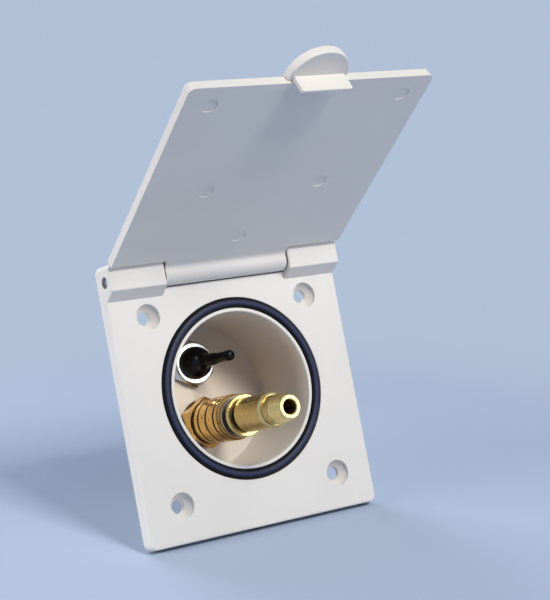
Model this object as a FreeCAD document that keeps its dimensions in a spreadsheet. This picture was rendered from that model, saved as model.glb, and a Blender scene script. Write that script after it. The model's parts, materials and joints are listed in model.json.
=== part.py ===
import FreeCAD, Part
import math
import os
import re

import Sketcher

# Recessed deck outlet box with a hinged lid.
# Row frame: origin on the cup's axis at the back (seat) face of the flange,
# +X along the hinge, +Y into the deck or bulkhead, +Z towards the hinge.

# Driving dimensions, in millimetres and degrees.
SIZES = {
    # flange and cup, one moulding
    "flange_width": 110.0,
    "flange_height": 115.0,
    "flange_thick": 6.0,
    "flange_corner": 3.0,
    "flange_edge": 0.8,
    "mouth_radius": 32.1,
    "cup_floor_radius": 31.7,
    "cup_outer_radius": 34.6,
    "cup_depth": 39.7,
    "cup_floor_thick": 3.0,
    "lip_round": 0.35,
    # lid seal and its groove
    "seal_groove_radius": 33.6,
    "seal_side_gap": 0.1,
    "seal_cord": 4.2,
    "seal_proud": 1.0,
    # mounting screw holes
    "screw_span_x": 76.0,
    "screw_span_z": 77.0,
    "screw_centre_z": -3.9,
    "screw_hole": 5.8,
    "screw_sink": 10.9,
    "screw_sink_straight": 1.5,
    "screw_sink_rim": 0.05,
    "cut_over": 1.0,
    # hinge
    "hinge_z": 50.5,
    "hinge_proud": 1.0,
    "pin_diameter": 3.0,
    "pin_fit": 0.03,
    "pin_running": 0.07,
    "pin_recess": 0.5,
    "pin_mouth": 4.8,
    "pin_mouth_depth": 2.5,
    "pin_edge": 0.36,
    "knuckle_length": 25.3,
    "knuckle_proud": 6.2,
    "knuckle_foot_z": 42.5,
    "knuckle_face_z": 46.3,
    "barrel_radius": 4.4,
    "barrel_side_gap": 0.6,
    "barrel_trough_gap": 0.5,
    "barrel_fillet": 2.0,
    # lid
    "lid_open": 120.0,
    "lid_width": 109.6,
    "lid_reach": 107.5,
    "lid_standoff": 1.3,
    "lid_corner": 3.0,
    "lid_edge": 0.8,
    "lid_stop_gap": 0.8,
    "web_lap": 1.0,
    "mark_diameter": 6.6,
    "mark_depth": 0.35,
    "mark_far_x": 43.3,
    "mark_far_reach": 98.2,
    "mark_mid_x": 26.5,
    "mark_mid_reach": 50.2,
    "mark_near_reach": 20.3,
    "tab_radius": 13.0,
    "tab_thick": 3.8,
    "tab_step": 0.8,
    "tab_round": 0.5,
    "tab_lap": 1.5,
    "catch_width": 22.4,
    "catch_thick": 1.6,
    "catch_gap": 0.3,
    "catch_wall_gap": 0.8,
    "catch_round": 0.5,
    # quick coupling in the cup floor; heights are above the floor
    "coupling_z": -11.3,
    "coupling_hex": 19.5,
    "coupling_hex_thick": 5.5,
    "hex_lap": 1.0,
    "coupling_gasket_lip": 0.6,
    "washer_thick": 1.0,
    "washer_slack": 0.1,
    "thread_seat": 0.03,
    "gasket_slack": 0.05,
    "tail_diameter": 13.2,
    "tail_hole_gap": 0.2,
    "tail_length": 18.0,
    "tail_edge": 1.0,
    "bore_step": 1.0,
    "tube_radius": 7.2,
    "tube_top": 33.4,
    "turned_edge": 0.4,
    "bore_radius": 4.56,
    "bore_depth": 17.6,
    "flow_radius": 3.0,
    "gland_height": 19.6,
    "gland_width": 2.2,
    "gland_radius": 6.0,
    "gland_lap": 0.5,
    "plug_seal_cord": 1.4,
    "ball_height": 26.4,
    "ball_radius": 1.5,
    "ball_nipple_gap": 0.15,
    "ball_hole_gap": 0.08,
    "stop_ring_height": 31.6,
    "stop_ring_thick": 0.9,
    "stop_ring_proud": 1.6,
    "stop_groove_depth": 0.5,
    "sleeve_stop_gap": 0.1,
    # locking sleeve
    "sleeve_low": 9.4,
    "sleeve_wall": 1.07,
    "rib_height": 0.65,
    "sleeve_fit": 0.06,
    "sleeve_land_height": 23.6,
    "sleeve_relief": 0.55,
    "sleeve_nose_wall": 1.3,
    "sleeve_nose_start": 2.6,
    "sleeve_nose_end": 1.7,
    "sleeve_land_thick": 0.9,
    "sleeve_edge": 0.5,
    "rib_start": 2.6,
    "rib_pitch": 6.6,
    "rib_side": 0.4,
    "rib_floor": 1.2,
    "spring_wire": 0.6,
    "spring_turns": 6.0,
    "spring_gap": 0.02,
    "spring_tube_gap": 0.08,
    "spring_wall_gap": 0.15,
    # hose plug
    "nipple_fit": 0.06,
    "plug_gap": 0.4,
    "plug_neck_radius": 6.0,
    "collar_height": 36.0,
    "collar_thick": 1.6,
    "collar_radius": 9.0,
    "plug_body_low": 39.8,
    "plug_radius": 7.25,
    "plug_body_top": 60.0,
    "plug_tip": 72.7,
    "hose_tail_radius": 6.1,
    "hose_tail_tip_radius": 5.0,
    "plug_groove_depth": 0.8,
    "plug_groove_side": 0.5,
    "nipple_taper": 0.6,
    "plug_edge": 0.9,
    "tail_neck": 1.2,
    "tail_ring_pitch": 4.0,
    "tail_ring_fall": 0.5,
    # back of the coupling
    "back_washer_radius": 10.6,
    "back_nut": 19.0,
    "back_nut_thick": 5.5,
    "nut_crest": 0.49,
    "nut_crest_outer": 0.62,
    "supply_hex": 14.0,
    "supply_hex_thick": 4.5,
    "supply_thread_radius": 4.1,
    "supply_thread_length": 7.0,
    "supply_barb_radius": 5.1,
    "supply_root_radius": 4.4,
    "supply_length": 20.0,
    "supply_barb_start": 2.2,
    "supply_barb_pitch": 5.6,
    "supply_barb_rise": 0.4,
    "supply_barb_flat": 0.5,
    "supply_barb_run": 4.3,
    "supply_seat": 0.02,
    # switch in the cup floor; heights are above the floor
    "switch_x": -0.8,
    "switch_z": 14.9,
    "bushing_radius": 5.9,
    "bushing_top": 6.6,
    "bushing_bore": 3.4,
    "bushing_edge": 0.6,
    "bushing_flare": 0.8,
    "bushing_flare_depth": 2.0,
    "bushing_hole_gap": 0.15,
    "boot_nut": 18.6,
    "boot_nut_thick": 2.2,
    "boot_ring_radius": 9.1,
    "boot_ring_top": 4.2,
    "boot_gasket_thick": 0.4,
    "boot_seat": 0.05,
    "boot_ring_lap": 0.2,
    "boot_ring_edge": 0.5,
    "boot_skirt": 0.8,
    "boot_shoulder": 2.4,
    "boot_crown": 1.4,
    "boot_shoulder_ratio": 0.94,
    "boot_crown_ratio": 0.8,
    "boot_radius": 7.25,
    "boot_wall": 0.9,
    "boot_top": 9.6,
    "boot_mouth": 5.0,
    "toggle_tilt": 14.0,
    "pivot_height": 1.0,
    "lever_radius": 1.45,
    "lever_ball": 3.0,
    "lever_foot": 0.25,
    "lever_top": 26.1,
    "lever_nose_gap": 0.3,
    "lever_nose_radius": 1.2,
    "lever_neck": 2.6,
    "lever_nose_flat": 1.0,
    "lever_nose_edge": 0.3,
    "lever_edge": 0.6,
    "lever_boot_radius": 2.45,
    "lever_boot_low": 8.6,
    "lever_boot_cap": 1.1,
    "lever_boot_fit": 0.02,
    "lever_boot_dome": 1.2,
    "keyed_washer_thick": 0.8,
    "keyed_washer_radius": 8.2,
    "switch_nut": 14.0,
    "switch_nut_thick": 2.0,
    "frame_thick": 0.9,
    "frame_gap": 0.8,
    "frame_tab": 7.0,
    "frame_tab_share": 0.5,
    "frame_hole_gap": 0.4,
    "frame_side_gap": 0.05,
    "case_length": 28.0,
    "case_width": 15.6,
    "case_depth": 17.0,
    "case_wall": 1.6,
    "blade_span": 9.0,
    "blade_width": 5.0,
    "blade_thick": 0.8,
    "blade_length": 9.0,
    "blade_hole_share": 0.6,
    "fulcrum_height": 8.5,
    "rocker_length": 21.0,
    "rocker_width": 6.0,
    "rocker_thick": 0.8,
    "rocker_tilt": 8.0,
    "rocker_axle_z": 0.75,
    "contact_gap": 0.3,
    "screw_radius": 1.5,
    "screw_head_radius": 2.6,
    "screw_head_thick": 1.4,
    "screw_shank": 2.2,
    "screw_tip": 0.5,
}

# Sizes that follow from the driving ones.
DERIVED = {
    "front_y": "-flange_thick",
    "floor_y": "cup_depth - flange_thick",
    "cup_back_y": "floor_y + cup_floor_thick",
    "top_z": "flange_height / 2",
    "seal_groove_width": "seal_cord + 2 * seal_side_gap",
    "seal_orbit": "seal_groove_radius + seal_groove_width / 2",
    "seal_groove_depth": "seal_cord - seal_proud",
    "hinge_y": "front_y - hinge_proud",
    "knuckle_outer": "flange_width / 2",
    "knuckle_inner": "knuckle_outer - knuckle_length",
    "knuckle_front_y": "front_y - knuckle_proud",
    "lid_inner": "lid_standoff - hinge_proud",
    "lid_thick": "barrel_radius - lid_inner",
    "lid_root": "(hinge_y - knuckle_front_y) * sin(lid_open * 1 deg)"
                " - (top_z - hinge_z) * cos(lid_open * 1 deg) + lid_stop_gap",
    "catch_inner": "hinge_z + top_z + catch_gap",
    "catch_outer": "catch_inner + catch_thick",
    "catch_tip": "hinge_proud + flange_thick - catch_wall_gap",
    "tab_outer": "barrel_radius + tab_step",
    "tab_inner": "tab_outer - tab_thick",
    "hex_low": "washer_thick",
    "hex_top": "hex_low + coupling_hex_thick",
    "bore_floor": "tube_top - bore_depth",
    "sleeve_top": "stop_ring_height - sleeve_stop_gap",
    "spring_radius": "tube_radius + spring_tube_gap + spring_wire / 2",
    "spring_chamber": "spring_radius + spring_wire / 2 + spring_wall_gap",
    "sleeve_groove_radius": "spring_chamber + sleeve_wall",
    "sleeve_radius": "sleeve_groove_radius + rib_height",
    "sleeve_relief_radius": "tube_radius + sleeve_relief",
    "sleeve_nose_radius": "tube_radius + sleeve_nose_wall",
    "stop_ring_radius": "tube_radius + stop_ring_proud",
    "stop_groove_radius": "tube_radius - stop_groove_depth",
    "nipple_radius": "bore_radius - nipple_fit",
    "ball_orbit": "nipple_radius + ball_radius + ball_nipple_gap",
    "shoulder": "tube_top + plug_gap",
    "collar_top": "collar_height + collar_thick",
    "back_nut_low": "-cup_floor_thick - washer_thick",
    "tail_end": "-tail_length",
    "switch_nut_low": "-cup_floor_thick - keyed_washer_thick - switch_nut_thick",
    "frame_top": "switch_nut_low - frame_gap",
    "case_top": "frame_top - frame_thick",
    "case_floor": "case_top - case_depth + case_wall",
    "case_bottom": "case_top - case_depth",
    "fulcrum_top": "case_floor + fulcrum_height",
    "rocker_pivot": "fulcrum_top + rocker_axle_z",
    "contact_top": "rocker_pivot - (blade_span + blade_thick / 2) * tan(rocker_tilt * 1 deg)"
                   " - rocker_thick / 2 - contact_gap",
    "lever_nose_depth": "pivot_height - rocker_pivot - rocker_thick / 2 - lever_nose_gap",
}

doc = FreeCAD.newDocument("deck_outlet_box")
sheet = doc.addObject("Spreadsheet::Sheet", "Sizes")


def linked(text):
    """Write an expression in plain cell names so that it points at the sheet."""
    def prefix(match):
        word = match.group(0)
        return "Sizes." + word if word in SIZES or word in DERIVED else word
    return re.sub(r"[a-z_][a-z_0-9]*", prefix, text)


def fill_sheet():
    """One row per size: its name, its value or formula, and the alias on the value."""
    for row, (name, value) in enumerate(SIZES.items(), start=1):
        sheet.set("A%d" % row, name)
        sheet.set("B%d" % row, "%g" % value)
        sheet.setAlias("B%d" % row, name)
    for row, (name, formula) in enumerate(DERIVED.items(), start=len(SIZES) + 1):
        sheet.set("A%d" % row, name)
        sheet.set("B%d" % row, "=" + formula)
        sheet.setAlias("B%d" % row, name)
    doc.recompute()


def size(name):
    """The present value of a cell."""
    return float(sheet.get(name))


def new_body(label):
    body = doc.addObject("PartDesign::Body", label)
    body.Label = label
    return body


def new_sketch(body, role, lift=None):
    """A sketch on one of the body's origin planes, lifted along the plane's normal."""
    plane = next(item for item in body.Origin.OriginFeatures if item.Role == role)
    sketch = body.newObject("Sketcher::SketchObject", body.Name + "_sketch")
    sketch.AttachmentSupport = [(plane, "")]
    sketch.MapMode = "FlatFace"
    if lift:
        sketch.setExpression("AttachmentOffset.Base.z", linked(lift))
    return sketch


def bind_point(sketch, edge, end, across, up):
    """Hold one point of a sketch at a distance across and up from its origin."""
    for kind, text in (("DistanceX", across), ("DistanceY", up)):
        index = sketch.addConstraint(Sketcher.Constraint(kind, -1, 1, edge, end, 1.0))
        sketch.setExpression("Constraints[%d]" % index, linked(text))


def polygon(body, role, corners, lift=None):
    """A closed outline through corners, each a pair of expressions."""
    sketch = new_sketch(body, role, lift)
    count = len(corners)
    ring = [FreeCAD.Vector(10 * math.cos(2 * math.pi * step / count),
                           10 * math.sin(2 * math.pi * step / count), 0)
            for step in range(count)]
    for step in range(count):
        sketch.addGeometry(Part.LineSegment(ring[step], ring[(step + 1) % count]))
    for step in range(count):
        sketch.addConstraint(Sketcher.Constraint("Coincident", step, 2, (step + 1) % count, 1))
    for step, (across, up) in enumerate(corners):
        bind_point(sketch, step, 1, across, up)
    return sketch


def rectangle(body, role, left, low, right, high, lift=None):
    return polygon(body, role, [(left, low), (right, low), (right, high), (left, high)], lift)


def hexagon(body, role, flats, lift=None, turn=30):
    """A regular hexagon with the given distance across its flats."""
    corner = "(" + flats + ") / sqrt(3)"
    corners = [("%s * cos(%d deg)" % (corner, turn + 60 * step),
                "%s * sin(%d deg)" % (corner, turn + 60 * step)) for step in range(6)]
    return polygon(body, role, corners, lift)


def discs(body, role, circles, lift=None):
    """Circles, each given as across, up and radius."""
    sketch = new_sketch(body, role, lift)
    for step, (across, up, radius) in enumerate(circles):
        sketch.addGeometry(Part.Circle(FreeCAD.Vector(step, step, 0),
                                       FreeCAD.Vector(0, 0, 1), 1.0 + step))
        bind_point(sketch, step, 3, across, up)
        index = sketch.addConstraint(Sketcher.Constraint("Radius", step, 1.0))
        sketch.setExpression("Constraints[%d]" % index, linked(radius))
    return sketch


def extrude(kind, body, sketch, length, side="One side", reverse=False):
    feature = body.newObject("PartDesign::" + kind, body.Name + "_" + kind.lower())
    feature.Profile = sketch
    if length is None:
        feature.Type = "ThroughAll"
    else:
        feature.setExpression("Length", linked(length))
    feature.SideType = side
    feature.Reversed = reverse
    return feature


def pad(body, sketch, length, side="One side", reverse=False):
    return extrude("Pad", body, sketch, length, side, reverse)


def pocket(body, sketch, length=None, side="Symmetric", reverse=False):
    """Cut a sketch through the body, or to a length; the cut must take material."""
    doc.recompute()
    before = body.Shape.Volume
    feature = extrude("Pocket", body, sketch, length, side, reverse)
    doc.recompute()
    if body.Shape.Volume > before - 1e-6:
        raise RuntimeError(body.Label + ": a pocket cut nothing")
    return feature


def spin(body, corners, cut=False):
    """Turn an outline of (radius, height) corners about the body's own Z axis."""
    kind = "Groove" if cut else "Revolution"
    if cut:
        doc.recompute()
        before = body.Shape.Volume
    sketch = polygon(body, "XZ_Plane", corners)
    feature = body.newObject("PartDesign::" + kind, body.Name + "_" + kind.lower())
    feature.Profile = sketch
    feature.ReferenceAxis = (sketch, ["V_Axis"])
    feature.Angle = 360
    if cut:
        doc.recompute()
        if body.Shape.Volume > before - 1e-6:
            raise RuntimeError(body.Label + ": a groove cut nothing")
    return feature


def dress(kind, body, radius, test):
    """Fillet or chamfer every edge of the body for which test(edge) is true."""
    doc.recompute()
    tip = body.Tip
    names = ["Edge%d" % (number + 1)
             for number, edge in enumerate(tip.Shape.Edges) if test(edge)]
    if not names:
        raise RuntimeError(body.Label + ": no edge found to dress")
    feature = body.newObject("PartDesign::" + kind, body.Name + "_" + kind.lower())
    feature.Base = (tip, names)
    feature.setExpression("Radius" if kind == "Fillet" else "Size", linked(radius))
    doc.recompute()
    return feature


def near(value, target, slack=0.01):
    return abs(value - target) < slack


def spans(edge, **limits):
    """True if the edge's box matches each limit, such as XMin=3.0."""
    box = edge.BoundBox
    return all(near(getattr(box, name), value) for name, value in limits.items())


def place(body, across="0", deep="0", high="0", axis=(1, 0, 0), angle=0.0):
    """Put a body in the row frame at an expression for each coordinate."""
    turn = FreeCAD.Rotation(FreeCAD.Vector(*axis), angle)
    body.Placement = FreeCAD.Placement(FreeCAD.Vector(0, 0, 0), turn)
    for letter, text in (("x", across), ("y", deep), ("z", high)):
        body.setExpression("Placement.Base." + letter, linked(text))


def on_coupling(body):
    """The body's own Z axis becomes the coupling's axis, out of the cup from its floor."""
    place(body, "0", "floor_y", "coupling_z", angle=90)


def on_switch(body):
    """The body's own Z axis becomes the switch's axis, out of the cup from its floor."""
    place(body, "switch_x", "floor_y", "switch_z", angle=90)


def ring_shape(label, inner, outer, low, high):
    """A plain turned ring or washer."""
    body = new_body(label)
    spin(body, [(inner, low), (outer, low), (outer, high), (inner, high)])
    return body


def hex_nut(label, flats, low, high, bore, turn=30):
    """A hexagon nut with both faces chamfered and a plain bore."""
    body = new_body(label)
    pad(body, hexagon(body, "XY_Plane", flats, low, turn), "(%s) - (%s)" % (high, low))
    chamfer_hexagon(body, flats, high, -1)
    chamfer_hexagon(body, flats, low, 1)
    pocket(body, discs(body, "XY_Plane", [("0", "0", bore)]))
    return body


def chamfer_hexagon(body, flats, level, direction):
    """Take the corners off a hexagon's face with a 30 degree cone."""
    inner = "(%s) * nut_crest" % flats
    outer = "(%s) * nut_crest_outer" % flats
    drop = "(%s) %s (%s) * (nut_crest_outer - nut_crest) * tan(30 deg)" % (
        level, "+" if direction > 0 else "-", flats)
    spin(body, [(inner, level), (outer, level), (outer, drop)], cut=True)


def on_side(edge, half, front):
    """True for the front edges of the flange's and knuckles' outer side faces."""
    box = edge.BoundBox
    return (near(abs(edge.CenterOfMass.x), half) and box.XLength < 0.01
            and box.YMax < front + 0.01)


def make_housing():
    body = new_body("housing")
    half = size("flange_width") / 2
    top = size("top_z")
    front = size("front_y")
    pad(body, rectangle(body, "XZ_Plane", "-flange_width / 2", "-top_z",
                        "flange_width / 2", "top_z"), "flange_thick")
    # two knuckles, padded as one bar before the barrel's place is cut out of it
    bar = polygon(body, "YZ_Plane", [
        ("front_y / 2", "knuckle_foot_z"), ("front_y", "knuckle_foot_z"),
        ("knuckle_front_y", "knuckle_face_z"), ("knuckle_front_y", "top_z"),
        ("front_y / 2", "top_z")])
    pad(body, bar, "2 * knuckle_outer", side="Symmetric")
    dress("Fillet", body, "flange_corner",
          lambda edge: near(abs(edge.CenterOfMass.x), half)
          and near(abs(edge.CenterOfMass.z), top))
    gap_half = "2 * knuckle_inner"
    pocket(body, rectangle(body, "YZ_Plane", "knuckle_front_y - cut_over",
                           "knuckle_foot_z - cut_over", "front_y", "top_z + cut_over"), gap_half)
    face = size("knuckle_front_y")
    foot = size("flange_corner") - top
    dress("Fillet", body, "flange_edge",
          lambda edge: spans(edge, YMin=face, YMax=face) or on_side(edge, half, front)
          or spans(edge, YMin=front, YMax=front) and edge.CenterOfMass.z < foot)
    # the cup stands out behind the flange
    pad(body, discs(body, "XZ_Plane", [("0", "0", "cup_outer_radius")]), "cup_back_y",
        reverse=True)
    trough = "barrel_radius + barrel_trough_gap"
    pocket(body, discs(body, "YZ_Plane", [("hinge_y", "hinge_z", trough)]), gap_half)
    pocket(body, rectangle(body, "YZ_Plane", "front_y - cut_over", "hinge_z",
                           "hinge_y + " + trough, "top_z + cut_over"), gap_half)
    pocket(body, discs(body, "YZ_Plane", [
        ("hinge_y", "hinge_z", "pin_diameter / 2 + pin_fit")]))
    mouth = discs(body, "YZ_Plane", [("hinge_y", "hinge_z", "pin_mouth / 2")],
                  lift="knuckle_outer - pin_mouth_depth")
    cut = pocket(body, mouth, "pin_mouth_depth + cut_over", side="One side", reverse=True)
    mirror = body.newObject("PartDesign::Mirrored", "housing_pin_mouths")
    mirror.Originals = [cut]
    plane = next(item for item in body.Origin.OriginFeatures if item.Role == "YZ_Plane")
    mirror.MirrorPlane = (plane, [""])
    body.Tip = mirror
    # cup cavity with its slight draft, and the groove for the lid seal
    hollow(body, [("0", "front_y - cut_over"), ("mouth_radius", "front_y - cut_over"),
                  ("mouth_radius", "front_y"), ("cup_floor_radius", "floor_y"),
                  ("0", "floor_y")])
    outer = "seal_groove_radius + seal_groove_width"
    hollow(body, [("seal_groove_radius", "front_y - cut_over"), (outer, "front_y - cut_over"),
                  (outer, "front_y + seal_groove_depth"),
                  ("seal_groove_radius", "front_y + seal_groove_depth")])
    mouth_rings = (size("mouth_radius"), size("seal_groove_radius"),
                   size("seal_groove_radius") + size("seal_groove_width"))
    dress("Fillet", body, "lip_round",
          lambda edge: spans(edge, YMin=front, YMax=front)
          and any(near(edge.BoundBox.XLength / 2, radius, 0.02) for radius in mouth_rings))
    # holes in the floor, and the sunk screw holes
    pocket(body, discs(body, "XZ_Plane", [
        ("0", "coupling_z", "tail_diameter / 2 + tail_hole_gap"),
        ("switch_x", "switch_z", "bushing_radius + bushing_hole_gap")]))
    corners = [(side + "screw_span_x / 2", "screw_centre_z " + lift + " screw_span_z / 2")
               for side in ("", "-") for lift in ("+", "-")]
    pocket(body, discs(body, "XZ_Plane",
                       [corner + ("screw_hole / 2",) for corner in corners]))
    pocket(body, discs(body, "XZ_Plane", [corner + ("screw_sink / 2",) for corner in corners],
                       lift="flange_thick - screw_sink_straight"),
           "screw_sink_straight + cut_over", side="One side", reverse=True)
    seat = front + size("screw_sink_straight")
    dress("Chamfer", body, "(screw_sink - screw_hole) / 2 - screw_sink_rim",
          lambda edge: spans(edge, YMin=seat, YMax=seat)
          and near(edge.BoundBox.XLength, size("screw_hole"), 0.02))
    return body


def hollow(body, corners):
    """Cut an outline of (radius, depth) corners turned about the cup's axis."""
    doc.recompute()
    before = body.Shape.Volume
    sketch = polygon(body, "XY_Plane", corners)
    feature = body.newObject("PartDesign::Groove", body.Name + "_groove")
    feature.Profile = sketch
    feature.ReferenceAxis = (sketch, ["V_Axis"])
    feature.Angle = 360
    doc.recompute()
    if body.Shape.Volume > before - 1e-6:
        raise RuntimeError(body.Label + ": a groove cut nothing")


def make_lid_seal():
    seal = doc.addObject("Part::Torus", "lid_seal")
    seal.setExpression("Radius1", linked("seal_orbit"))
    seal.setExpression("Radius2", linked("seal_cord / 2"))
    place(seal, "0", "front_y - seal_proud + seal_cord / 2", "0", angle=90)


def make_hinge_pin():
    """A plain steel pin with domed ends, along X."""
    body = new_body("hinge_pin")
    reach = "(knuckle_outer - pin_recess)"
    edge = "pin_edge"
    spin(body, [("0", "-" + reach), ("pin_diameter / 2 - 2 * " + edge, "-" + reach),
                ("pin_diameter / 2", "-" + reach + " + " + edge),
                ("pin_diameter / 2", reach + " - " + edge),
                ("pin_diameter / 2 - 2 * " + edge, reach), ("0", reach)])
    place(body, "0", "hinge_y", "hinge_z", axis=(0, 1, 0), angle=90)


def make_lid():
    """Modelled flat about its own hinge axis: X along the hinge, Y along the lid,
    Z towards the cup. The Placement stands it at its open stop."""
    body = new_body("lid")
    half = size("lid_width") / 2
    reach = size("lid_reach")
    outer = -size("barrel_radius")
    pad(body, rectangle(body, "XY_Plane", "-lid_width / 2", "lid_root",
                        "lid_width / 2", "lid_reach", lift="-barrel_radius"), "lid_thick")
    dress("Fillet", body, "lid_corner",
          lambda edge: near(abs(edge.CenterOfMass.x), half) and near(edge.CenterOfMass.y, reach))
    dress("Fillet", body, "lid_edge",
          lambda edge: spans(edge, ZMin=outer, ZMax=outer))
    # barrel and the web that joins it to the plate
    run = "2 * (knuckle_inner - barrel_side_gap)"
    pad(body, rectangle(body, "YZ_Plane", "0", "-barrel_radius",
                        "lid_root + lid_edge + web_lap", "-lid_inner"), run, side="Symmetric")
    pad(body, discs(body, "YZ_Plane", [("0", "0", "barrel_radius")]), run, side="Symmetric")
    crease = math.sqrt(size("barrel_radius") ** 2 - size("lid_inner") ** 2)
    dress("Fillet", body, "barrel_fillet",
          lambda edge: near(edge.CenterOfMass.y, crease, 0.02)
          and near(edge.CenterOfMass.z, -size("lid_inner"), 0.02))
    pocket(body, discs(body, "YZ_Plane", [("0", "0", "pin_diameter / 2 + pin_running")]))
    # catch that hooks over the flange's lower edge, then the finger tab
    pad(body, rectangle(body, "YZ_Plane", "lid_reach - tab_lap", "-(tab_inner + tab_outer) / 2",
                        "catch_outer", "-lid_inner"), "catch_width", side="Symmetric")
    pad(body, rectangle(body, "YZ_Plane", "catch_inner", "-(tab_inner + tab_outer) / 2",
                        "catch_outer", "catch_tip"), "catch_width", side="Symmetric")
    tip = size("catch_tip")
    dress("Fillet", body, "catch_round", lambda edge: spans(edge, ZMin=tip, ZMax=tip))
    tab = half_disc(body)
    pad(body, tab, "tab_thick")
    top = size("catch_inner") + size("tab_radius")
    dress("Fillet", body, "tab_round",
          lambda edge: near(edge.BoundBox.YMax, top, 0.05) and edge.BoundBox.ZLength < 0.01)
    marks = [("mark_far_x", "mark_far_reach"), ("-mark_far_x", "mark_far_reach"),
             ("mark_mid_x", "mark_mid_reach"), ("-mark_mid_x", "mark_mid_reach"),
             ("0", "mark_near_reach")]
    pocket(body, discs(body, "XY_Plane",
                       [mark + ("mark_diameter / 2",) for mark in marks],
                       lift="-lid_inner - mark_depth"),
           "mark_depth + cut_over", side="One side", reverse=True)
    place(body, "0", "hinge_y", "hinge_z")
    body.setExpression("Placement.Rotation.Angle", linked("(270 - lid_open) * 1 deg"))
    return body


def half_disc(body):
    """The tab's outline: an arc about the catch's inner face, closed on the plate."""
    sketch = new_sketch(body, "XY_Plane", lift="-tab_outer")
    radius = size("tab_radius")
    centre = FreeCAD.Vector(0, size("catch_inner"), 0)
    drop = size("catch_inner") - (size("lid_reach") - size("tab_lap"))
    start = -math.asin(drop / radius)
    sketch.addGeometry(Part.ArcOfCircle(
        Part.Circle(centre, FreeCAD.Vector(0, 0, 1), radius), start, math.pi - start))
    ends = [centre + FreeCAD.Vector(side * radius * math.cos(start), -drop, 0)
            for side in (-1, 1)]
    sketch.addGeometry(Part.LineSegment(*ends))
    sketch.addConstraint(Sketcher.Constraint("Coincident", 0, 2, 1, 1))
    sketch.addConstraint(Sketcher.Constraint("Coincident", 1, 2, 0, 1))
    sketch.addConstraint(Sketcher.Constraint("Horizontal", 1))
    bind_point(sketch, 0, 3, "0", "catch_inner")
    for kind, first, text in (("Radius", (0,), "tab_radius"),
                              ("DistanceY", (-1, 1, 1, 1), "lid_reach - tab_lap")):
        index = sketch.addConstraint(Sketcher.Constraint(kind, *first, 1.0))
        sketch.setExpression("Constraints[%d]" % index, linked(text))
    return sketch


def make_coupling_body():
    """Brass bulkhead socket: hexagon, threaded tail, and the tube that takes the plug."""
    body = new_body("coupling_body")
    pad(body, hexagon(body, "XY_Plane", "coupling_hex", "hex_low"), "coupling_hex_thick")
    chamfer_hexagon(body, "coupling_hex", "hex_top", -1)
    tail = "tail_diameter / 2"
    ring_low = "stop_ring_height"
    ring_top = "stop_ring_height + stop_ring_thick"
    spin(body, [
        ("0", "tail_end"), (tail + " - tail_edge", "tail_end"), (tail, "tail_end + tail_edge"),
        (tail, "hex_low + hex_lap"), ("tube_radius", "hex_low + hex_lap"), ("tube_radius", ring_low),
        ("stop_groove_radius", ring_low), ("stop_groove_radius", ring_top),
        ("tube_radius", ring_top), ("tube_radius", "tube_top - turned_edge"),
        ("tube_radius - turned_edge", "tube_top"), ("0", "tube_top")])
    supply = "supply_thread_radius + thread_seat"
    spin(body, [
        ("0", "tube_top + cut_over"), ("bore_radius", "tube_top + cut_over"),
        ("bore_radius", "bore_floor"),
        ("flow_radius", "bore_floor - bore_step"),
        ("flow_radius", "tail_end + supply_thread_length + bore_step"),
        (supply, "tail_end + supply_thread_length + bore_step"),
        (supply, "tail_end - cut_over"), ("0", "tail_end - cut_over")], cut=True)
    spin(body, [
        ("bore_radius - gland_lap", "gland_height"), ("gland_radius", "gland_height"),
        ("gland_radius", "gland_height + gland_width"),
        ("bore_radius - gland_lap", "gland_height + gland_width")], cut=True)
    hole = pocket(body, discs(body, "YZ_Plane", [
        ("0", "ball_height", "ball_radius + ball_hole_gap")]), "tube_radius + cut_over",
        side="One side")
    ring_of(body, hole, 4)
    on_coupling(body)


def ring_of(body, feature, count):
    """Repeat a feature evenly round the body's own Z axis."""
    pattern = body.newObject("PartDesign::PolarPattern", body.Name + "_ring")
    pattern.Originals = [feature]
    axis = next(item for item in body.Origin.OriginFeatures if item.Role == "Z_Axis")
    pattern.Axis = (axis, [""])
    pattern.Angle = 360
    pattern.Occurrences = count
    body.Tip = pattern
    doc.recompute()


def make_plug_seal():
    seal = doc.addObject("Part::Torus", "plug_seal")
    seal.setExpression("Radius1", linked("bore_radius + plug_seal_cord / 2"))
    seal.setExpression("Radius2", linked("plug_seal_cord / 2"))
    on_coupling(seal)
    seal.setExpression("Placement.Base.y", linked("floor_y - gland_height - gland_width / 2"))


def make_locking_balls():
    """Four steel balls in the tube's radial holes, in one group."""
    balls = []
    for step in range(4):
        ball = doc.addObject("Part::Sphere", "ball_%d" % (step + 1))
        ball.setExpression("Radius", linked("ball_radius"))
        place(ball, "ball_orbit * cos(%d deg)" % (90 * step), "floor_y - ball_height",
              "coupling_z + ball_orbit * sin(%d deg)" % (90 * step))
        balls.append(ball)
    group = doc.addObject("Part::Compound", "locking_balls")
    group.Links = balls


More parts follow.
